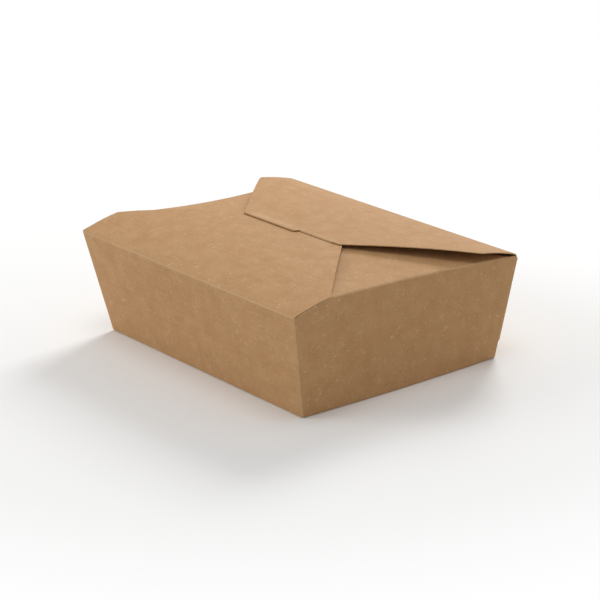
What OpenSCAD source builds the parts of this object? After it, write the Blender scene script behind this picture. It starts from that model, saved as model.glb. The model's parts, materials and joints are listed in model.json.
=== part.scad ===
// Folded kraft takeout box, shut. It is one creased sheet of board.
// The tub is flared, the two end flaps are folded in first, then the front flap, then the top flap.
// +X runs along the long side, the front is at -Y, and the origin is under the middle of the base.

/* [Board] */
// Thickness of the board
board_t = 0.45; // [0.35:0.05:0.6]
// Radius of the bead that creasing raises along a fold
crease_r = 0.4; // [0.35:0.05:0.6]
// Radius of the sharper fold down each corner
corner_fold_r = 0.36; // [0.3:0.02:0.5]
// Colour of the board
board_colour = "#b98d62"; // ["#b98d62", "#c9a47a", "#e9e3d6"]

/* [Tub] */
// Length over the rim
rim_l = 195; // [170:1:240]
// Width over the rim
rim_w = 140; // [130:1:180]
// Length of the base, at its corners
base_l = 175.6; // [150:0.2:220]
// Width of the base
base_w = 122; // [100:1:160]
// Height over everything, with the lid shut
overall_h = 65; // [50:1:90]
// How far each end of the base bulges out at its middle
end_bulge = 1.6; // [0:0.2:3]
// How far the fold along the top of each end wall is drawn in at its middle
end_draw_in = 6; // [0:0.5:10]

/* [Corner webs] */
// Width of a folded web where it is widest, at the rim
web_w = 21; // [12:1:30]
// Drop from the rim to the top edge of a web
web_drop = 2; // [1:0.5:6]

/* [Long flaps] */
// Rise of the front flap from its crease to the middle of the box
lid_rise = 7.8; // [5:0.2:10]
// Angle at which a long flap springs up from its crease
spring_angle = 19; // [14:1:24]
// Length of the square shoulder at each end of a long flap
shoulder_d = 22.5; // [14:0.5:30]
// Angle by which the sides of a long flap turn in after the shoulder
side_angle = 49; // [40:1:54]
// Depth of the front flap, from its crease to its free edge
front_flap_d = 83; // [78:1:88]
// Depth of the top flap, from its crease to its free edge
top_flap_d = 73.5; // [72:0.5:76]
// Radius of the cut corners
corner_r = 3; // [1:0.5:5]
// Gap between one flap and the flap that it lies on
lay_gap = 0.2; // [0.15:0.05:0.4]

/* [End flaps] */
// Length of an end flap, from the rim to its free edge
end_flap_l = 57; // [52:1:60]
// Width of an end flap at its free edge
end_flap_w = 52; // [40:1:60]
// Distance from the corners of the rim to the root of an end flap
end_flap_inset = 5; // [4:1:20]

/* [Lock] */
// Distance from the top flap's free edge back to the crease of its tongue
tongue_back = 3; // [2:0.5:5]
// Distance from the middle of the box to the near side of the tongue
tongue_x = 8; // [4:1:12]
// Width of the tongue at its crease
tongue_w = 28; // [20:1:29]
// Length of the tongue
tongue_l = 9; // [6:0.5:12]
// Clearance between the tongue and the slit, all round
slit_clear = 0.6; // [0.5:0.05:0.9]

/* [Hinge] */
// Gap between the crease along the back rim and the root of the top flap
hinge_gap = 0.12; // [0.08:0.02:0.3]

/* [Hidden] */
$fn = 32;
// The steps along a curved edge, and round a cut corner
CURVE_STEPS = 24;
CORNER_STEPS = 6;
// What a cutting or overlapping solid reaches past the face that it meets
PAST = 0.5;
// The two layers of a web lie against the end wall
WEB_LAYERS = 2;

half_t = board_t / 2;
// The rim and the base, at the middle of the board
rim_x = rim_l / 2 - corner_fold_r;
rim_y = rim_w / 2 - crease_r;
base_x = base_l / 2;
base_y = base_w / 2;
spring_slope = tan(spring_angle);
// Where the top flap lies on the front flap, as distances from the top flap's crease
lap = [for (i = [0 : CURVE_STEPS]) top_flap_d - (front_flap_d + top_flap_d - 2 * rim_y) * i / CURVE_STEPS];
// The top flap rises enough to clear the front flap there, by one layer of board and the gap
top_rise = max([
    for (d = lap)
        (arch(2 * rim_y - d, lid_rise) + board_t + lay_gap - arch(d, 0)) / (arch(d, 1) - arch(d, 0))
]);
lid_crown = max([for (i = [0 : CURVE_STEPS]) arch(top_flap_d * i / CURVE_STEPS, top_rise)]);
rim_z = overall_h - half_t - lid_crown;

// Each long wall leans out from the base to the rim
wall_out = rim_y - base_y;
wall_rise = rim_z - half_t;
wall_len = norm([wall_out, wall_rise]);
wall_lean = atan(wall_out / wall_rise);
// What the board's thickness takes up along X in an end wall that leans out
end_half_t = half_t / cos(atan((rim_x - base_x) / wall_rise));

// The tongue's crease, seen from the hinge: how far out it is, and how high
tongue_crease_d = top_flap_d - tongue_back;
tongue_crease_z = arch(tongue_crease_d, top_rise);
// The tongue leans so that its tip swings out through the slit
tongue_lean = atan2(tongue_crease_z - tongue_l / 2, tongue_crease_d);
slit_w = board_t + 2 * slit_clear;
slit_l = tongue_w + 2 * slit_clear;

// Height of a long flap above its crease, d away from it. The crease springs the flap up and the
// other flaps hold its edge down, so it bends most at the crease and is nearly straight at the lock.
function bend(rise) = 3 * (spring_slope * rim_y - rise) / pow(rim_y, 2);
function arch(d, rise) =
    d < rim_y
    ? spring_slope * d - bend(rise) * (pow(d, 2) / 2 - pow(d, 3) / (6 * rim_y))
    : rise + arch_slope(rim_y, rise) * (d - rim_y);
function arch_slope(d, rise) = spring_slope - bend(rise) * (min(d, rim_y) - pow(min(d, rim_y), 2) / (2 * rim_y));

// A point on one face of a long flap: side is 1 for the upper face and -1 for the lower one
function flap_skin(d, rise, side) =
    let (a = atan(arch_slope(d, rise)))
    [d - side * half_t * sin(a), arch(d, rise) + side * half_t * cos(a)];

// Half the length of a long flap, d away from its crease
function flap_half_l(d) = rim_x - max(d - shoulder_d, 0) * tan(side_angle);

// The points of an arc that rounds off the corner at p, between the neighbours a and b
function rounded(a, p, b, r) =
    let (
        u = (a - p) / norm(a - p),
        w = (b - p) / norm(b - p),
        half = acos(u * w) / 2,
        mid = p + (u + w) / norm(u + w) * r / sin(half),
        from = p + u * r / tan(half) - mid,
        to = p + w * r / tan(half) - mid,
        a0 = atan2(from[1], from[0]),
        turn = atan2(from[0] * to[1] - from[1] * to[0], from * to)
    )
    [for (i = [0 : CORNER_STEPS]) mid + r * [cos(a0 + turn * i / CORNER_STEPS), sin(a0 + turn * i / CORNER_STEPS)]];

// How far along the end fold a point is: 0 at the front flap's shoulder, 1 at the back corner
function fold_part(y) = max((y + rim_y - shoulder_d) / (2 * rim_y - shoulder_d), 0);

// The bottom and the top of the right end wall, for s from -1 at the front to 1 at the back
function end_low(s) = [base_x + end_bulge * (1 - pow(s, 2)), s * base_y, half_t];
function end_top(s) =
    let (y = s * rim_y, q = fold_part(y), shoulder_z = arch(shoulder_d, lid_rise))
    [
        rim_x - 4 * end_draw_in * q * (1 - q),
        y,
        rim_z + (q > 0 ? shoulder_z * pow(1 - q, 2) - board_t * q : arch(y + rim_y, lid_rise))
    ];
function end_wall_at(s, up) = end_low(s) * (1 - up) + end_top(s) * up;

// A sheet through a grid of points, as rows that all have as many points.
// Its two faces lie at the offsets a and b from the grid, with a on the side that columns x rows face.
module sheet(rows, a, b) {
    n = len(rows);
    m = len(rows[0]);
    all = concat([for (row = rows) for (p = row) p + a], [for (row = rows) for (p = row) p + b]);
    far = n * m;
    face_a = [
        for (i = [0 : n - 2]) for (j = [0 : m - 2])
            let (k = i * m + j)
            each [[k, k + 1, k + m + 1], [k, k + m + 1, k + m]]
    ];
    face_b = [for (f = face_a) [f[2] + far, f[1] + far, f[0] + far]];
    // The edge of the grid, once round
    ring = concat(
        [for (j = [0 : m - 1]) j],
        [for (i = [1 : n - 1]) i * m + m - 1],
        [for (j = [m - 2 : -1 : 0]) (n - 1) * m + j],
        [for (i = [n - 2 : -1 : 1]) i * m]
    );
    count = len(ring);
    rim_faces = [
        for (i = [0 : count - 1])
            let (p = ring[i], q = ring[(i + 1) % count])
            each [[q, p, p + far], [q, p + far, q + far]]
    ];
    polyhedron(all, concat(face_a, face_b, rim_faces));
}

// The bead of a fold that runs from p to q
module crease(p, q, r = crease_r) {
    run = q - p;
    translate(p)
        rotate([0, acos(run[2] / norm(run)), atan2(run[1], run[0])])
            cylinder(h = norm(run), r = r);
}

module base() {
    bulge = [for (i = [0 : CURVE_STEPS]) end_low(2 * i / CURVE_STEPS - 1)];
    right = [for (p = bulge) [p[0], p[1]]];
    left = [for (i = [CURVE_STEPS : -1 : 0]) [-bulge[i][0], bulge[i][1]]];
    linear_extrude(board_t)
        polygon(concat(right, left));
}

module front_wall() {
    translate([0, -base_y, half_t])
        rotate([90 + wall_lean, 0, 0])
            linear_extrude(board_t, center = true)
                polygon([[-base_x, 0], [base_x, 0], [rim_x, wall_len], [-rim_x, wall_len]]);
    crease([-base_x, -base_y, crease_r], [base_x, -base_y, crease_r]);
    crease([-rim_x, -rim_y, rim_z], [rim_x, -rim_y, rim_z]);
}

module end_wall() {
    steps = [for (i = [0 : CURVE_STEPS]) 2 * i / CURVE_STEPS - 1];
    sheet([for (s = steps) [end_low(s), end_top(s)]], [end_half_t, 0, 0], [-end_half_t, 0, 0]);
    for (side = [-1, 1])
        crease([base_x, side * base_y, crease_r], [rim_x, side * rim_y, rim_z], corner_fold_r);
}

// A corner web, folded double against the inside of the end wall, at the front or the back
module web(side) {
    top = 1 - web_drop / wall_rise;
    part = web_w / rim_y;
    steps = [for (i = [0 : CORNER_STEPS]) i / CORNER_STEPS];
    rows = [for (i = steps) [for (up = [0, top]) end_wall_at(side * (1 - i * (up > 0 ? part : board_t / rim_y)), up)]];
    order = side < 0 ? rows : [for (i = [CORNER_STEPS : -1 : 0]) rows[i]];
    sheet(order, [0, 0, 0], [-(1 + 2 * WEB_LAYERS) * end_half_t, 0, 0]);
}

// An end flap runs from the fold on its wall to a straight free edge under the lock
module end_flap() {
    root_front = -1 + (shoulder_d + PAST) / rim_y;
    root_back = 1 - end_flap_inset / rim_y;
    tip_x = rim_x - end_flap_l;
    tip_z = rim_z + lid_rise - board_t - 2 * lay_gap;
    rows = [
        for (i = [0 : CURVE_STEPS])
            let (k = i / CURVE_STEPS, s = root_front * (1 - k) + root_back * k)
            [end_top(s), [tip_x, end_flap_w * (k - 1 / 2), tip_z - board_t]]
    ];
    sheet(rows, [0, 0, half_t], [0, 0, -half_t]);
}

// The arched board of a long flap, as wide as the rim, from d0 away from its crease to depth
module arched_board(rise, d0, depth) {
    steps = [for (i = [0 : CURVE_STEPS]) d0 + (depth - d0) * i / CURVE_STEPS];
    rotate([90, 0, 90])
        linear_extrude(2 * rim_x, center = true)
            polygon(concat(
                [for (i = [CURVE_STEPS : -1 : 0]) flap_skin(steps[i], rise, 1)],
                [for (d = steps) flap_skin(d, rise, -1)]
            ));
}

module front_flap() {
    tip = [flap_half_l(front_flap_d), front_flap_d];
    shoulder = [rim_x + PAST, shoulder_d];
    cut = rounded([flap_half_l(shoulder_d), shoulder_d], tip, [-tip[0], tip[1]], corner_r);
    outline = concat(
        [[-rim_x - PAST, -PAST], [rim_x + PAST, -PAST], shoulder, [rim_x, shoulder_d]],
        cut,
        [for (i = [CORNER_STEPS : -1 : 0]) [-cut[i][0], cut[i][1]]],
        [[-rim_x, shoulder_d], [-shoulder[0], shoulder_d]]
    );
    translate([0, -rim_y, rim_z])
        difference() {
            intersection() {
                arched_board(lid_rise, 0, front_flap_d + PAST);
                translate([0, 0, -overall_h / 2])
                    linear_extrude(overall_h)
                        polygon(outline);
            }
            translate([tongue_x - slit_clear, 2 * rim_y - tongue_crease_d - slit_w / 2, lid_rise - overall_h / 2])
                cube([slit_l, slit_w, overall_h]);
        }
}

module tongue() {
    slope_in = tongue_l / 3;
    translate([tongue_x, tongue_crease_d, tongue_crease_z])
        rotate([90 + tongue_lean, 0, 0])
            mirror([0, 1, 0])
                linear_extrude(board_t, center = true)
                    polygon([
                        [0, 0],
                        [tongue_w, 0],
                        [tongue_w, slope_in],
                        [tongue_w - slope_in, tongue_l],
                        [slope_in, tongue_l],
                        [0, slope_in]
                    ]);
}

module carton() {
    color(board_colour) {
        base();
        for (turn = [0, 1])
            mirror([0, turn, 0])
                front_wall();
        for (turn = [0, 1])
            mirror([turn, 0, 0]) {
                end_wall();
                web(-1);
                web(1);
                end_flap();
            }
        front_flap();
    }
}

module top_flap() {
    root = crease_r + hinge_gap;
    end_x = rim_x - end_half_t - lay_gap;
    tip = [-flap_half_l(top_flap_d), top_flap_d];
    back_x = flap_half_l(tongue_crease_d);
    outline = concat(
        [[-end_x, root - PAST], [end_x, root - PAST], [end_x, shoulder_d], [back_x, tongue_crease_d]],
        [[tongue_x, tongue_crease_d], [tongue_x - tongue_back / 2, top_flap_d]],
        rounded([0, top_flap_d], tip, [-flap_half_l(shoulder_d), shoulder_d], corner_r),
        [[-end_x, shoulder_d]]
    );
    color(board_colour)
        translate([0, rim_y, rim_z])
            mirror([0, 1, 0]) {
                intersection() {
                    arched_board(top_rise, root, top_flap_d + PAST);
                    translate([0, 0, -overall_h / 2])
                        linear_extrude(overall_h)
                            polygon(outline);
                }
                tongue();
            }
}

carton();
top_flap();
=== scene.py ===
"""A kraft takeout box, shut: its folded board, its hinged top flap, and a plain studio."""

import json
import math

import bmesh
import bpy
from mathutils import Matrix, Vector, noise


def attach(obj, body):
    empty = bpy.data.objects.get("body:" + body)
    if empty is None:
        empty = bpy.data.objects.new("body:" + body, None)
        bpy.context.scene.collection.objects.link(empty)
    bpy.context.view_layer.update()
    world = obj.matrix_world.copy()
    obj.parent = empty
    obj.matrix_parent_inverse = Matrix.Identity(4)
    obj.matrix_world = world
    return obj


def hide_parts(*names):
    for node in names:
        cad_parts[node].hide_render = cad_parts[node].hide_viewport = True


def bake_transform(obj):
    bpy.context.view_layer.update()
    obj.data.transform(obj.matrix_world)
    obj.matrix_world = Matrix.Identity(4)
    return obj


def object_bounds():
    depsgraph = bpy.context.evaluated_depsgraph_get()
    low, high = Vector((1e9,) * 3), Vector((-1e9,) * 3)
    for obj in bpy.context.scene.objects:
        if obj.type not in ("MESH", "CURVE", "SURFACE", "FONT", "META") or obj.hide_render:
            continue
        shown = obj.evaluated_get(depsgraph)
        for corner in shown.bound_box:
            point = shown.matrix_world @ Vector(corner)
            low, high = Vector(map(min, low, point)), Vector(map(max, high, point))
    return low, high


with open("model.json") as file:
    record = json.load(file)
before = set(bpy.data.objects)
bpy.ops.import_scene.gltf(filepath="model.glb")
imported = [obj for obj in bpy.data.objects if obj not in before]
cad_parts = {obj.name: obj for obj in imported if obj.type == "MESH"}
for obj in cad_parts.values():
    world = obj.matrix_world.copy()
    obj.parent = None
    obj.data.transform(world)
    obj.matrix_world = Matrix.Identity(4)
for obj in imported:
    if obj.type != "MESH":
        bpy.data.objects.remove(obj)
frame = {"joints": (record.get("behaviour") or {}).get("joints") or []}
cad_low, cad_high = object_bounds()

MM = 0.001

# Sizes, as the construction has them
BOARD = 0.45 * MM
HALF = BOARD / 2
# The middle of the board at the rim is this far inside the outermost point of the box
CORNER_FOLD = 0.36 * MM
# Half the length and half the width of the base
BASE_X = 87.8 * MM
BASE_Y = 61.0 * MM
# How far an end bulges at its bottom, and is drawn in at its top
END_BULGE = 1.6 * MM
END_DRAW_IN = 6.0 * MM
# The rise of the two long flaps at the middle of the box, and the slope at which they spring up
FRONT_RISE = 7.8 * MM
TOP_RISE = 8.638 * MM
SPRING = math.tan(math.radians(19))
# The square shoulder of a long flap, and how its side turns in after it
SHOULDER = 22.5 * MM
SIDE_TURN = math.tan(math.radians(49))
# The depth of the two long flaps, and the gap where one lies on the other
FRONT_FLAP = 83.0 * MM
TOP_FLAP = 73.5 * MM
LAY_GAP = 0.2 * MM
# An end flap's length, the width of its free edge, and how far its root stays from the back corner
END_FLAP = 57.0 * MM
END_FLAP_TIP = 52.0 * MM
END_FLAP_INSET = 5.0 * MM
# A corner web's width at the rim, and its drop below the rim
WEB = 21.0 * MM
WEB_DROP = 2.0 * MM
# The tongue: its crease's place, its width and length, its cut corners, and the room round it
TONGUE_BACK = 3.0 * MM
TONGUE_X = 8.0 * MM
TONGUE_WIDTH = 28.0 * MM
TONGUE = 9.0 * MM
TONGUE_TAPER = 3.0 * MM
SLIT_CLEAR = 0.6 * MM

# The hinge is the crease along the back rim, so it gives the height and half the width of the rim
hinge = Vector(frame["joints"][0]["pos_m"])
RIM_X = cad_high.x - CORNER_FOLD
RIM_Y = hinge.y
RIM_Z = hinge.z
WALL_RISE = RIM_Z - HALF

# A crease rounds off this much of each of the two panels that meet in it
FOLD = 0.9 * MM
FOLD_STEPS = 4
TONGUE_FOLD = 0.5 * MM
# Layers of board that touch are drawn this far apart
TOUCH_GAP = 0.06 * MM
# The top edge of an end wall lies this far under the flap that covers it
UNDER = BOARD + TOUCH_GAP
# The back wall and the top flap stop this far from the hinge, and the crease's own piece goes between
CREASE_REACH = 1.6 * MM
CREASE_STEPS = 10
# Panels of board bow by up to this much, and waver by up to that much
BOW = 0.7 * MM
WAVER = 0.35 * MM
WAVER_LENGTH = 70.0 * MM
# Free corners of the flaps are cut round, so far along each edge
FLAP_CORNER = 1.3 * MM
TIP_CORNER = 3.0 * MM
CORNER_STEPS = 5
# Points closer than this count as in one place
NEAR = 0.05 * MM
# A point this near to a long wall, as a share of the way out to it, counts as on it
ON_WALL = 0.001
# Faces that meet at less than this angle are shaded as one round
SMOOTH_ANGLE = math.radians(35)


# The shape of the folded board


def tub_half_length(up):
    """Half the tub's length at its corners, this share of the way from the base to the rim."""
    return BASE_X + (RIM_X - BASE_X) * up


def tub_half_width(up):
    """Half the tub's width, this share of the way from the base to the rim."""
    return BASE_Y + (RIM_Y - BASE_Y) * up


def bend(rise):
    """How hard a long flap bends at its crease, for its rise at the middle of the box."""
    return 3 * (SPRING * RIM_Y - rise) / RIM_Y**2


def arch_slope(d, rise):
    near = min(d, RIM_Y)
    return SPRING - bend(rise) * (near - near**2 / (2 * RIM_Y))


def arch(d, rise):
    """Height of a long flap above its crease, at the distance d from it."""
    near = min(d, RIM_Y)
    height = SPRING * near - bend(rise) * (near**2 / 2 - near**3 / (6 * RIM_Y))
    return height + (d - near) * arch_slope(RIM_Y, rise)


def flap_half_length(d):
    return RIM_X - max(d - SHOULDER, 0) * SIDE_TURN


def flap_waver(point, d):
    """How far a long flap strays from its arch, between its crease and where it laps the other flap."""
    part = min(d / (RIM_Y - SHOULDER / 2), 1)
    return WAVER * noise.noise(point / WAVER_LENGTH) * 4 * part * (1 - part)


def end_low_x(s):
    """How far out the bottom edge of an end wall is, for s from -1 at the front to 1 at the back."""
    return BASE_X + END_BULGE * (1 - s * s)


def end_fold_part(s):
    """0 at the front flap's shoulder and before it, 1 at the back corner."""
    return max((s * RIM_Y + RIM_Y - SHOULDER) / (2 * RIM_Y - SHOULDER), 0)


def end_top_x(s):
    part = end_fold_part(s)
    return RIM_X - 4 * END_DRAW_IN * part * (1 - part)


def end_top_lift(s):
    """Height of an end wall's top edge above the rim. It climbs to the front flap's shoulder."""
    part = end_fold_part(s)
    if part > 0:
        return arch(SHOULDER, FRONT_RISE) * (1 - part) ** 2 - UNDER
    return arch(s * RIM_Y + RIM_Y, FRONT_RISE) - UNDER


def steps(first, last, count):
    """Evenly spaced numbers from first to last, both included."""
    return [first + (last - first) * i / count for i in range(count + 1)]


# Distances from the front rim at which the end walls have an edge. There is one at each end of the
# end flap's root, and there are some close to the corners.
ROOT_GAP = 0.5 * MM
CORNER_COLUMN = 1.5 * MM
FIRST_COLUMN = 5.0 * MM
END_COLUMNS = [CORNER_COLUMN]
END_COLUMNS += steps(FIRST_COLUMN, SHOULDER, 4)
END_COLUMNS += steps(SHOULDER + ROOT_GAP, 2 * RIM_Y - END_FLAP_INSET, 20)
END_COLUMNS += [2 * RIM_Y - 2 * CORNER_COLUMN, 2 * RIM_Y - CORNER_COLUMN]
END_PLACES = [d / RIM_Y - 1 for d in END_COLUMNS]

# The slit that the tongue goes through, as distances from the front rim and from the middle
TONGUE_CREASE = TOP_FLAP - TONGUE_BACK
SLIT_HALF = HALF + SLIT_CLEAR
SLIT_D = 2 * RIM_Y - TONGUE_CREASE
TONGUE_ENDS = (TONGUE_X, TONGUE_X + TONGUE_WIDTH)
SLIT_X = (TONGUE_ENDS[0] - SLIT_CLEAR, TONGUE_ENDS[1] + SLIT_CLEAR)
# Where the panels are divided, so that they can bow. The tub is also divided at the slit's ends.
TUB_CUTS = [x * MM for x in (-80, -64, -48, -32, -16, 0, 22, 52, 66, 80)] + list(SLIT_X)
TOP_CUTS = [x * MM for x in (-80, -64, -48, -32, -16, 22, 52, 66, 80)]
Z_CUTS = steps(0, RIM_Z, 6)[1:-1]


# Modelling by hand


def select_only(piece):
    bpy.ops.object.select_all(action="DESELECT")
    piece.select_set(True)
    bpy.context.view_layer.objects.active = piece


def new_plane(name, half_x, half_y, z):
    """A rectangle round the middle, left in edit mode."""
    bpy.ops.object.select_all(action="DESELECT")
    bpy.ops.mesh.primitive_plane_add(size=2)
    piece = bpy.context.active_object
    piece.name = name
    piece.data.name = name
    bpy.ops.object.mode_set(mode="EDIT")
    stretch(half_x, half_y, 1)
    move(0, 0, z)
    return piece


def pick(kind, *tests, open_only=False):
    """Selects what lies where one of the tests says, and nothing else: vertices, edges or faces."""
    bpy.ops.mesh.select_mode(type=kind)
    bpy.ops.mesh.select_all(action="DESELECT")
    data = bpy.context.edit_object.data
    mesh = bmesh.from_edit_mesh(data)
    for test in tests:
        if kind == "VERT":
            chosen = [v for v in mesh.verts if test(v.co)]
        elif kind == "EDGE":
            chosen = [e for e in mesh.edges if all(test(v.co) for v in e.verts)]
        else:
            chosen = [f for f in mesh.faces if test(f.calc_center_median())]
        for element in chosen:
            if not open_only or element.is_boundary:
                element.select_set(True)
    bmesh.update_edit_mesh(data)


def move(x, y, z):
    bpy.ops.transform.translate(value=(x, y, z))


def stretch(x, y, z, about=(0, 0, 0)):
    bpy.ops.transform.resize(value=(x, y, z), center_override=about)


def extrude(x, y, z):
    bpy.ops.mesh.extrude_region_move(TRANSFORM_OT_translate={"value": (x, y, z)})


def cut_across(axis, place):
    """Divides the whole mesh by a plane square to an axis."""
    bpy.ops.mesh.select_all(action="SELECT")
    point = [0, 0, 0]
    normal = [0, 0, 0]
    point[axis] = place
    normal[axis] = 1
    bpy.ops.mesh.bisect(plane_co=point, plane_no=normal)


def bevel(width, segments, affect="EDGES"):
    bpy.ops.mesh.bevel(offset=width, segments=segments, affect=affect, profile=0.5)


def same(a, b):
    return abs(a - b) < NEAR


def apply_modifier(piece, kind, **settings):
    select_only(piece)
    modifier = piece.modifiers.new(kind.lower(), kind)
    for key, value in settings.items():
        setattr(modifier, key, value)
    bpy.ops.object.modifier_apply(modifier=modifier.name)


def face_outward(outward):
    """Turns the outside of the board outwards. The widest face shows which way it is now."""
    bpy.ops.mesh.select_all(action="SELECT")
    bpy.ops.mesh.normals_make_consistent(inside=False)
    mesh = bmesh.from_edit_mesh(bpy.context.edit_object.data)
    widest = max(mesh.faces, key=lambda f: f.calc_area())
    if widest.normal.dot(outward(widest.calc_center_median())) < 0:
        bpy.ops.mesh.flip_normals()


def thicken(piece):
    """Gives the board its thickness, half to each side. Its outside, inside and cut edge differ."""
    for finish in (kraft_outside, kraft_inside, kraft_edge):
        piece.data.materials.append(finish)
    apply_modifier(
        piece,
        "SOLIDIFY",
        thickness=BOARD,
        offset=0,
        use_even_offset=True,
        material_offset=1,
        material_offset_rim=2,
    )
    bpy.ops.object.shade_smooth_by_angle(angle=SMOOTH_ANGLE)
    apply_modifier(piece, "WEIGHTED_NORMAL", keep_sharp=True)


def distance_to_line(point, line):
    first, last = line
    run = last - first
    part = min(max((point - first).dot(run) / run.length_squared, 0), 1)
    return (point - first - run * part).length


def mark_creases(piece, lines):
    """Marks the points near a crease, where the folded board is paler. A line on the right counts on
    the left too."""
    marks = piece.data.attributes.new("crease", "FLOAT", "POINT")
    for v in piece.data.vertices:
        mirrored = Vector((-v.co.x, v.co.y, v.co.z))
        gap = min(distance_to_line(p, line) for p in (v.co, mirrored) for line in lines)
        marks.data[v.index].value = max(1 - gap / FOLD, 0)


# Finishes


def linear(hex_colour):
    """The linear values of an sRGB hex colour."""
    values = [int(hex_colour[i : i + 2], 16) / 255 for i in (1, 3, 5)]
    return [v / 12.92 if v <= 0.04045 else ((v + 0.055) / 1.055) ** 2.4 for v in values] + [1]


def add_node(tree, kind, settings=None, inputs=None):
    """Adds one node, makes its settings, and gives its inputs their values or links."""
    node = tree.nodes.new("ShaderNode" + kind)
    for key, value in (settings or {}).items():
        setattr(node, key, value)
    for key, value in (inputs or {}).items():
        if isinstance(value, bpy.types.NodeSocket):
            tree.links.new(value, node.inputs[key])
        else:
            node.inputs[key].default_value = value
    return node


def new_material(name):
    material = bpy.data.materials.new(name)
    material.use_nodes = True
    material.node_tree.nodes.clear()
    return material, material.node_tree


# Pattern sizes of the board
CLOUD = 9.0 * MM
GRAIN = 0.8 * MM
STREAK = (30.0 * MM, 1.1 * MM, 1.1 * MM)
FIBRE = 3.2 * MM
FIBRE_BREAK = 1.8 * MM
RELIEF = 0.03 * MM
# How near its middle value the noise draws a fibre, and where the second noise keeps it
FIBRE_LINE = (0.004, 0.02)
FIBRE_KEPT = (0.52, 0.62)
# The cells that hold the flecks, a fleck's full and soft radius, and the share of cells without one
FLECK_CELL = 5.0 * MM
FLECK_CORE = 0.225 * MM
FLECK_REACH = 0.45 * MM
FLECK_EMPTY = 0.35
# The colours of single fibres, of bark, and of board that a crease has stretched
FIBRE_COLOUR = "#e3c9a2"
BARK_COLOUR = "#6d4b2c"
WORN_COLOUR = "#dcc09a"
CELLULOSE_IOR = 1.47
FILM_ROUGHNESS = 0.3


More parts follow.
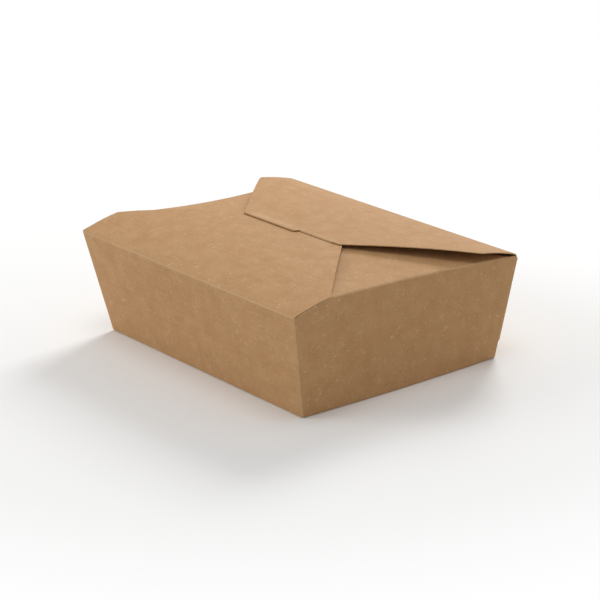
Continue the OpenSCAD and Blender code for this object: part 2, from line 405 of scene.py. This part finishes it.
def board_finish(name, base, light, dark, roughness, coat):
    """Unbleached kraft board, with its clouds, streaks, fibres, bark flecks and grain."""
    material, tree = new_material(name)
    place = add_node(tree, "TexCoord").outputs["Object"]

    # Pulp lies thicker and thinner in clouds about a centimetre across
    clouds = add_node(
        tree,
        "TexNoise",
        inputs={"Vector": place, "Scale": 1 / CLOUD, "Detail": 5.0, "Roughness": 0.6},
    )
    # The paper machine draws faint streaks along the board
    drawn = add_node(
        tree, "Mapping", inputs={"Vector": place, "Scale": [1 / size for size in STREAK]}
    )
    streaks = add_node(
        tree,
        "TexNoise",
        inputs={"Vector": drawn.outputs["Vector"], "Scale": 1.0, "Detail": 3.0},
    )
    # The surface has a fine grain
    grain = add_node(
        tree,
        "TexNoise",
        inputs={"Vector": place, "Scale": 1 / GRAIN, "Detail": 3.0, "Roughness": 0.6},
    )
    # Fibres are the curved lines where a noise crosses its middle value, broken up by a second noise.
    # Real ones are a few hundredths of a millimetre wide, so they are drawn coarser to show.
    wandering = add_node(
        tree,
        "TexNoise",
        inputs={"Vector": place, "Scale": 1 / FIBRE, "Detail": 1.0, "Distortion": 0.8},
    )
    off_middle = add_node(
        tree, "Math", {"operation": "SUBTRACT"}, {0: wandering.outputs["Fac"], 1: 0.5}
    )
    off_line = add_node(tree, "Math", {"operation": "ABSOLUTE"}, {0: off_middle.outputs[0]})
    line = add_node(
        tree,
        "MapRange",
        inputs={
            "Value": off_line.outputs[0],
            "From Min": FIBRE_LINE[0],
            "From Max": FIBRE_LINE[1],
            "To Min": 1,
            "To Max": 0,
        },
    )
    breaks = add_node(
        tree, "TexNoise", inputs={"Vector": place, "Scale": 1 / FIBRE_BREAK, "Detail": 0.0}
    )
    kept = add_node(
        tree,
        "MapRange",
        inputs={
            "Value": breaks.outputs["Fac"],
            "From Min": FIBRE_KEPT[0],
            "From Max": FIBRE_KEPT[1],
        },
    )
    fibres = add_node(
        tree, "Math", {"operation": "MULTIPLY"}, {0: line.outputs[0], 1: kept.outputs[0]}
    )
    # Bark flecks, about half a millimetre across with a soft edge, lie in two cells out of three
    cells = add_node(tree, "TexVoronoi", inputs={"Vector": place, "Scale": 1 / FLECK_CELL})
    dot = add_node(
        tree,
        "MapRange",
        inputs={
            "Value": cells.outputs["Distance"],
            "From Min": FLECK_CORE / FLECK_CELL,
            "From Max": FLECK_REACH / FLECK_CELL,
            "To Min": 1,
            "To Max": 0,
        },
    )
    cell_value = add_node(tree, "SeparateColor", inputs={"Color": cells.outputs["Color"]})
    in_cell = add_node(
        tree, "Math", {"operation": "GREATER_THAN"}, {0: cell_value.outputs[0], 1: FLECK_EMPTY}
    )
    flecks = add_node(
        tree, "Math", {"operation": "MULTIPLY"}, {0: dot.outputs[0], 1: in_cell.outputs[0]}
    )
    # Folding stretches the board, which is paler along a crease
    worn = add_node(tree, "Attribute", {"attribute_name": "crease"})

    # A layer is a pattern, the values between which it sets in, its full strength and its colour
    layers = [
        (clouds.outputs["Fac"], 0.32, 0.68, 1.0, light),
        (streaks.outputs["Fac"], 0.45, 0.75, 0.2, dark),
        (grain.outputs["Fac"], 0.45, 0.8, 0.35, dark),
        (fibres.outputs[0], 0.0, 1.0, 0.35, FIBRE_COLOUR),
        (flecks.outputs[0], 0.0, 1.0, 0.55, BARK_COLOUR),
        (worn.outputs["Fac"], 0.0, 1.0, 0.35, WORN_COLOUR),
    ]
    colour = linear(base)
    for pattern, low, high, strength, tint in layers:
        amount = add_node(
            tree,
            "MapRange",
            inputs={"Value": pattern, "From Min": low, "From Max": high, "To Max": strength},
        )
        colour = add_node(
            tree,
            "Mix",
            {"data_type": "RGBA"},
            {"Factor": amount.outputs[0], 6: colour, 7: linear(tint)},
        ).outputs[2]

    # The grain and the fibres are in slight relief, the fibres half as high
    height = add_node(
        tree,
        "Math",
        {"operation": "MULTIPLY_ADD"},
        {0: fibres.outputs[0], 1: 0.5, 2: grain.outputs["Fac"]},
    )
    bump = add_node(
        tree, "Bump", inputs={"Height": height.outputs[0], "Strength": 0.6, "Distance": RELIEF}
    )
    shader = add_node(
        tree,
        "BsdfPrincipled",
        inputs={
            "Base Color": colour,
            "Roughness": roughness,
            "IOR": CELLULOSE_IOR,
            "Coat Weight": coat,
            "Coat Roughness": FILM_ROUGHNESS,
            "Normal": bump.outputs[0],
        },
    )
    add_node(tree, "OutputMaterial", inputs={"Surface": shader.outputs[0]})
    return material


# Uncoated kraft liner: a warm, dry, matt brown
kraft_outside = board_finish("kraft_liner", "#b3885a", "#be9467", "#97703f", 0.82, 0.0)
# The same board under a thin clear film that keeps grease out: deeper, with a soft sheen
kraft_inside = board_finish("kraft_filmed", "#aa8053", "#b48b5f", "#8e6a3e", 0.6, 0.35)
# The cut edge shows the raw middle of the board: paler and rough
kraft_edge = board_finish("kraft_cut_edge", "#c49e72", "#cda97f", "#a98257", 0.9, 0.0)


# The tub: base, four walls, front flap and end flaps are one piece of board

tub = new_plane("tub_board", BASE_X, BASE_Y, HALF)
for s in END_PLACES:
    cut_across(1, s * BASE_Y)
for s in END_PLACES:
    pick("VERT", lambda p: same(p.y, s * BASE_Y))
    stretch(end_low_x(s) / BASE_X, 1, 1)

# The walls rise all round, and lean out
pick("EDGE", lambda p: True, open_only=True)
extrude(0, 0, WALL_RISE)
stretch(1, RIM_Y / BASE_Y, 1)
pick("VERT", lambda p: same(p.z, RIM_Z) and same(abs(p.y), RIM_Y))
stretch(RIM_X / BASE_X, 1, 1)
for s in END_PLACES:
    pick("VERT", lambda p: same(p.z, RIM_Z) and same(p.y, s * RIM_Y))
    stretch(end_top_x(s) / end_low_x(s), 1, 1)
    move(0, 0, end_top_lift(s))

# The back wall stops under the hinge crease
wall_run = Vector((0, RIM_Y - BASE_Y, WALL_RISE))
back_stop = wall_run.normalized() * CREASE_REACH
pick("VERT", lambda p: same(p.z, RIM_Z) and same(p.y, RIM_Y))
move(0, -back_stop.y, -back_stop.z)

# The front flap springs up from its crease and arches over
flap_rows = steps(0, SHOULDER, 5) + steps(SHOULDER, SLIT_D - SLIT_HALF, 12)[1:]
flap_rows += [SLIT_D + SLIT_HALF] + steps(SLIT_D + SLIT_HALF, FRONT_FLAP, 4)[1:]
pick("EDGE", lambda p: same(p.y, -RIM_Y) and same(p.z, RIM_Z))
for near, far in zip(flap_rows, flap_rows[1:]):
    extrude(0, far - near, arch(far, FRONT_RISE) - arch(near, FRONT_RISE))
    stretch(flap_half_length(far) / flap_half_length(near), 1, 1)

# The end flaps fold in to a straight free edge
fold_front = SHOULDER + ROOT_GAP - RIM_Y
fold_back = RIM_Y - END_FLAP_INSET
tip_x = RIM_X - END_FLAP
tip_z = RIM_Z + FRONT_RISE - 2 * BOARD - 2 * LAY_GAP
taper = END_FLAP_TIP / (fold_back - fold_front)
fixed_y = -taper * (fold_back + fold_front) / 2 / (1 - taper)
for side in (-1, 1):
    pick(
        "EDGE",
        lambda p: p.x * side > BASE_X
        and p.z > RIM_Z - FOLD
        and fold_front - NEAR < p.y < fold_back + NEAR,
        open_only=True,
    )
    extrude(-side * END_FLAP, 0, 0)
    stretch(0, taper, 0, about=(side * tip_x, fixed_y, tip_z))

for x in TUB_CUTS:
    cut_across(0, x)
for z in Z_CUTS:
    cut_across(2, z)
pick(
    "FACE",
    lambda p: SLIT_X[0] < p.x < SLIT_X[1]
    and abs(p.y + RIM_Y - SLIT_D) < SLIT_HALF
    and p.z > RIM_Z,
)
bpy.ops.mesh.delete(type="FACE")
face_outward(lambda p: Vector((p.x, p.y, 0)) if p.z > HALF + NEAR else Vector((0, 0, -1)))

# The walls bow out a little between their creases, and the front flap isn't quite even
for v in bmesh.from_edit_mesh(tub.data).verts:
    up = (v.co.z - HALF) / WALL_RISE
    across = v.co.x / tub_half_length(up)
    along = v.co.y / tub_half_width(up)
    amount = BOW + WAVER * noise.noise(v.co / WAVER_LENGTH)
    if same(v.co.z, RIM_Z + arch(v.co.y + RIM_Y, FRONT_RISE)):
        v.co.z += flap_waver(v.co, v.co.y + RIM_Y)
    elif abs(abs(along) - 1) < ON_WALL:
        v.co.y += math.copysign(amount * math.sin(math.pi * up) * (1 - across**2), along)
    elif up > 0:
        v.co.x += math.copysign(amount * math.sin(math.pi * min(up, 1)) * (1 - along**2), across)
bmesh.update_edit_mesh(tub.data)

# Free corners are cut round, and creases are rounded
pick(
    "VERT",
    lambda p: same(p.y, FRONT_FLAP - RIM_Y)
    and same(abs(p.x), flap_half_length(FRONT_FLAP))
    and p.z > RIM_Z,
)
bevel(FLAP_CORNER, CORNER_STEPS, "VERTICES")
pick("VERT", lambda p: same(abs(p.x), tip_x) and same(abs(p.y), END_FLAP_TIP / 2) and p.z > RIM_Z)
bevel(TIP_CORNER, CORNER_STEPS, "VERTICES")


def on_base_crease(p):
    return same(p.z, HALF) and (same(abs(p.y), BASE_Y) or same(abs(p.x), end_low_x(p.y / BASE_Y)))


def on_corner_crease(p):
    up = (p.z - HALF) / WALL_RISE
    return same(abs(p.x), tub_half_length(up)) and same(abs(p.y), tub_half_width(up))


def on_front_crease(p):
    return same(p.y, -RIM_Y) and same(p.z, RIM_Z)


def on_end_fold(p):
    s = p.y / RIM_Y
    inside = fold_front - NEAR < p.y < fold_back + NEAR
    return inside and same(abs(p.x), end_top_x(s)) and abs(p.z - RIM_Z - end_top_lift(s)) < 2 * NEAR


pick("EDGE", on_base_crease, on_corner_crease, on_front_crease, on_end_fold)
bevel(FOLD, FOLD_STEPS)
bpy.ops.object.mode_set(mode="OBJECT")
thicken(tub)
low_curve = [Vector((end_low_x(s), s * BASE_Y, HALF)) for s in [-1] + END_PLACES + [1]]
fold_curve = [
    Vector((end_top_x(s), s * RIM_Y, RIM_Z + end_top_lift(s)))
    for s in END_PLACES
    if fold_front + FOLD < s * RIM_Y < fold_back - FOLD
]
corner_curves = [
    [Vector((BASE_X, side * BASE_Y, HALF)), Vector((RIM_X, side * RIM_Y, RIM_Z))] for side in (-1, 1)
]
lines = [(Vector((-RIM_X, -RIM_Y, RIM_Z)), Vector((RIM_X, -RIM_Y, RIM_Z)))]
lines += [(Vector((-BASE_X, y, HALF)), Vector((BASE_X, y, HALF))) for y in (-BASE_Y, BASE_Y)]
for curve in [low_curve, fold_curve] + corner_curves:
    lines += list(zip(curve, curve[1:]))
mark_creases(tub, lines)
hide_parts("carton")
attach(tub, "carton")


# The top flap, with its tongue

TOP_HALF = RIM_X - BOARD


def on_tongue_crease(p):
    return same(p.y, RIM_Y - TONGUE_CREASE) and TONGUE_ENDS[0] - NEAR < p.x < TONGUE_ENDS[1] + NEAR


top_rows = steps(CREASE_REACH, SHOULDER, 5) + steps(SHOULDER, TONGUE_CREASE, 14)[1:]
top = new_plane("top_flap_board", TOP_HALF, (top_rows[1] - top_rows[0]) / 2, 0)
rise = arch(top_rows[1], TOP_RISE) - arch(top_rows[0], TOP_RISE)
move(0, RIM_Y - (top_rows[1] + top_rows[0]) / 2, RIM_Z + arch(top_rows[0], TOP_RISE))
pick("VERT", lambda p: p.y < RIM_Y - top_rows[1] + NEAR)
move(0, 0, rise)
for x in TONGUE_ENDS:
    cut_across(0, x)
pick("EDGE", lambda p: p.y < RIM_Y - top_rows[1] + NEAR)
for near, far in zip(top_rows[1:], top_rows[2:]):
    extrude(0, near - far, arch(far, TOP_RISE) - arch(near, TOP_RISE))
    edge = RIM_Y - far + NEAR
    ends = min(flap_half_length(near), TOP_HALF)
    pick("VERT", lambda p: p.y < edge and same(abs(p.x), ends))
    stretch(min(flap_half_length(far), TOP_HALF) / ends, 1, 1)
    pick("EDGE", lambda p: p.y < edge)

# The left half goes on to a free edge, and the right half turns down into the tongue
pick("EDGE", lambda p: p.y < RIM_Y - TONGUE_CREASE + NEAR and p.x < TONGUE_X + NEAR)
extrude(0, -TONGUE_BACK, arch(TOP_FLAP, TOP_RISE) - arch(TONGUE_CREASE, TOP_RISE))
pick("VERT", lambda p: p.y < RIM_Y - TOP_FLAP + NEAR and p.x < 0)
move(flap_half_length(TONGUE_CREASE) - flap_half_length(TOP_FLAP), 0, 0)
pick("VERT", lambda p: p.y < RIM_Y - TOP_FLAP + NEAR and p.x > 0)
move(-TONGUE_BACK / 2, 0, 0)
lean = math.atan2(arch(TONGUE_CREASE, TOP_RISE) - TONGUE / 2, TONGUE_CREASE)
down = Vector((0, math.sin(lean), -math.cos(lean)))
pick("EDGE", on_tongue_crease)
extrude(*(down * TONGUE_TAPER))
extrude(*(down * (TONGUE - TONGUE_TAPER)))
stretch(1 - 2 * TONGUE_TAPER / TONGUE_WIDTH, 1, 1, about=(sum(TONGUE_ENDS) / 2, 0, 0))
face_outward(lambda p: Vector((0, 0, 1)))
for x in TOP_CUTS:
    cut_across(0, x)
for v in bmesh.from_edit_mesh(top.data).verts:
    v.co.z += flap_waver(v.co, RIM_Y - v.co.y)
bmesh.update_edit_mesh(top.data)
pick("VERT", lambda p: same(p.y, RIM_Y - TOP_FLAP) and same(-p.x, flap_half_length(TOP_FLAP)))
bevel(FLAP_CORNER, CORNER_STEPS, "VERTICES")
pick("VERT", lambda p: same(p.y, RIM_Y - TONGUE_CREASE) and same(p.x, flap_half_length(TONGUE_CREASE)))
bevel(FLAP_CORNER, CORNER_STEPS, "VERTICES")
pick("EDGE", on_tongue_crease)
bevel(TONGUE_FOLD, FOLD_STEPS)
bpy.ops.object.mode_set(mode="OBJECT")
thicken(top)
tongue_crease_z = RIM_Z + arch(TONGUE_CREASE, TOP_RISE)
mark_creases(top, [[Vector((x, RIM_Y - TONGUE_CREASE, tongue_crease_z)) for x in TONGUE_ENDS]])
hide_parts("top_flap")
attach(top, "top_flap")


# The crease along the back rim is a piece of its own, rounding from the back wall to the top flap

wall_end = hinge - back_stop
flap_end = hinge + Vector((0, -CREASE_REACH, arch(CREASE_REACH, TOP_RISE)))


def crease_point(part):
    """A point of the round from the back wall, under the hinge, to the top flap."""
    return wall_end.lerp(hinge, part).lerp(hinge.lerp(flap_end, part), part)


round_points = [crease_point(part) for part in steps(0, 1, CREASE_STEPS)]
rim_crease = new_plane("rim_crease", TOP_HALF, CREASE_REACH, 0)
pick("VERT", lambda p: p.y > 0)
bpy.ops.mesh.delete(type="VERT")
bpy.ops.mesh.select_all(action="SELECT")
move(0, wall_end.y + CREASE_REACH, wall_end.z)
for near, far in zip(round_points, round_points[1:]):
    extrude(*(far - near))
face_outward(lambda p: Vector((0, 1, 1)))
bpy.ops.object.mode_set(mode="OBJECT")
thicken(rim_crease)
mark_creases(rim_crease, [(hinge - Vector((RIM_X, 0, 0)), hinge + Vector((RIM_X, 0, 0)))])
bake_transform(rim_crease)


# The corner webs are folded double inside the end walls

# The webs keep this far from the base and from the crease at the corner
WEB_START = 1.0 * MM
WEB_LAYER = BOARD + TOUCH_GAP
# A web's path has three parts, the way out, the turn and the way back, with as many columns each
WEB_PARTS = 3
WEB_COLUMNS = 8
WEB_ROWS = 6
TUB_CORNERS = [(side, end) for side in (-1, 1) for end in (-1, 1)]


def web_path(part, width):
    """Distance from the corner, and depth: along the wall, round at the free edge and back."""
    if part <= 1:
        return part * width, WEB_LAYER
    if part >= 2:
        return (WEB_PARTS - part) * width, 2 * WEB_LAYER
    turn = math.pi * (part - 1)
    return width + WEB_LAYER / 2 * math.sin(turn), WEB_LAYER * (3 - math.cos(turn)) / 2


def web_point(side, end, part, up):
    z = WEB_START + (RIM_Z - WEB_DROP - WEB_START) * up
    up = (z - HALF) / WALL_RISE
    away, depth = web_path(part, WEB * up)
    half_y = tub_half_width(up)
    y = half_y - WEB_START - away
    s = y / half_y
    x = end_low_x(s) + (end_top_x(s * end) - end_low_x(s)) * up - depth
    return Vector((side * x, end * y, z))


webs = []
for side, end in TUB_CORNERS:
    bpy.ops.object.select_all(action="DESELECT")
    bpy.ops.mesh.primitive_grid_add(
        x_subdivisions=WEB_PARTS * WEB_COLUMNS, y_subdivisions=WEB_ROWS, size=1
    )
    web = bpy.context.active_object
    for v in web.data.vertices:
        v.co = web_point(side, end, WEB_PARTS * (v.co.x + 0.5), v.co.y + 0.5)
    webs.append(web)
bpy.ops.object.select_all(action="DESELECT")
for web in webs:
    web.select_set(True)
bpy.ops.object.join()
webs = bpy.context.active_object
webs.name = "corner_webs"
webs.data.name = "corner_webs"
thicken(webs)
turn_middle = WEB_PARTS / 2
mark_creases(webs, [[web_point(*corner, turn_middle, up) for up in (0, 1)] for corner in TUB_CORNERS])
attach(webs, "carton")


# The studio

# Half the floor's width, and how far from the middle of the box it starts and ends turning white
FLOOR_HALF = 3.0
FLOOR_FADE = (0.15, 0.34)
SKY_LIGHT = 0.45

bpy.ops.object.select_all(action="DESELECT")
bpy.ops.mesh.primitive_plane_add(size=2 * FLOOR_HALF)
floor = bpy.context.active_object
floor.name = "studio_floor"


def seen_directly(tree):
    """1 for what the camera sees, straight or through a reflection, and 0 for what lights the scene."""
    path = add_node(tree, "LightPath")
    seen = path.outputs["Is Camera Ray"]
    for kind in ("Is Glossy Ray", "Is Transmission Ray"):
        either = add_node(tree, "Math", {"operation": "MAXIMUM"}, {0: seen, 1: path.outputs[kind]})
        seen = either.outputs[0]
    return seen


# A matt pale floor, which turns to plain white away from the box and keeps its shadow
floor_material, tree = new_material("matt_white_floor")
paint = add_node(
    tree, "BsdfPrincipled", inputs={"Base Color": linear("#f6f6f5"), "Roughness": 0.9}
)
white = add_node(tree, "Emission", inputs={"Color": linear("#ffffff"), "Strength": 1.0})
place = add_node(tree, "TexCoord").outputs["Object"]
from_box = add_node(tree, "VectorMath", {"operation": "LENGTH"}, {0: place})
fade = add_node(
    tree,
    "MapRange",
    {"interpolation_type": "SMOOTHSTEP"},
    {"Value": from_box.outputs["Value"], "From Min": FLOOR_FADE[0], "From Max": FLOOR_FADE[1]},
)
share = add_node(
    tree, "Math", {"operation": "MULTIPLY"}, {0: fade.outputs[0], 1: seen_directly(tree)}
)
mixed = add_node(
    tree, "MixShader", inputs={0: share.outputs[0], 1: paint.outputs[0], 2: white.outputs[0]}
)
add_node(tree, "OutputMaterial", inputs={"Surface": mixed.outputs[0]})
floor.data.materials.append(floor_material)

world = bpy.data.worlds.new("white_room")
world.use_nodes = True
tree = world.node_tree
tree.nodes.clear()
sky = add_node(tree, "Background", inputs={"Color": linear("#ffffff"), "Strength": SKY_LIGHT})
backdrop = add_node(tree, "Background", inputs={"Color": linear("#ffffff"), "Strength": 1.0})
mixed = add_node(
    tree, "MixShader", inputs={0: seen_directly(tree), 1: sky.outputs[0], 2: backdrop.outputs[0]}
)
add_node(tree, "OutputWorld", inputs={"Surface": mixed.outputs[0]})
bpy.context.scene.world = world


def add_lamp(name, place, size, power):
    """A square soft lamp that looks at the box."""
    lamp_data = bpy.data.lights.new(name, "AREA")
    lamp_data.size = size
    lamp_data.energy = power
    lamp = bpy.data.objects.new(name, lamp_data)
    lamp.location = place
    lamp.rotation_euler = (-Vector(place)).to_track_quat("-Z", "Y").to_euler()
    bpy.context.collection.objects.link(lamp)


# As the camera sees it, the key lamp stands behind the box, a little to the right. The fill lamp
# stands on the left and lights the front wall, so the end wall is the darkest side.
add_lamp("key_lamp", (-0.5, 0.85, 0.75), 0.45, 8)
add_lamp("top_lamp", (0.2, -0.1, 1.3), 0.6, 3)
add_lamp("fill_lamp", (-0.7, -1.1, 0.55), 0.8, 5)

# The camera, fitted to the drawing. Its focal length and offset are in pixels of the 600 by 600 frame
AZIMUTH = math.radians(55.237)
ELEVATION = math.radians(18.895)
ROLL = math.radians(-3.069)
DISTANCE = 1.2656
FOCAL_PIXELS = 2417.3
OFFSET_PIXELS = (-4.28, -13.77)
TARGET = Vector((0, 0, 0.032))
PICTURE_PIXELS = 600
SENSOR_MM = 36

back = Vector((
    math.sin(AZIMUTH) * math.cos(ELEVATION),
    -math.cos(AZIMUTH) * math.cos(ELEVATION),
    math.sin(ELEVATION),
))
level = Vector((math.cos(AZIMUTH), math.sin(AZIMUTH), 0))
upright = back.cross(level)
right = math.cos(ROLL) * level + math.sin(ROLL) * upright
up = math.cos(ROLL) * upright - math.sin(ROLL) * level

camera_data = bpy.data.cameras.new("camera")
camera_data.sensor_width = SENSOR_MM
camera_data.lens = FOCAL_PIXELS * SENSOR_MM / PICTURE_PIXELS
camera = bpy.data.objects.new("camera", camera_data)
eye = TARGET + back * DISTANCE
eye += (up * OFFSET_PIXELS[1] - right * OFFSET_PIXELS[0]) * DISTANCE / FOCAL_PIXELS
camera.matrix_world = Matrix.Translation(eye) @ Matrix((right, up, back)).transposed().to_4x4()
bpy.context.collection.objects.link(camera)
bpy.context.scene.camera = camera
bpy.context.scene.view_settings.view_transform = "Standard"
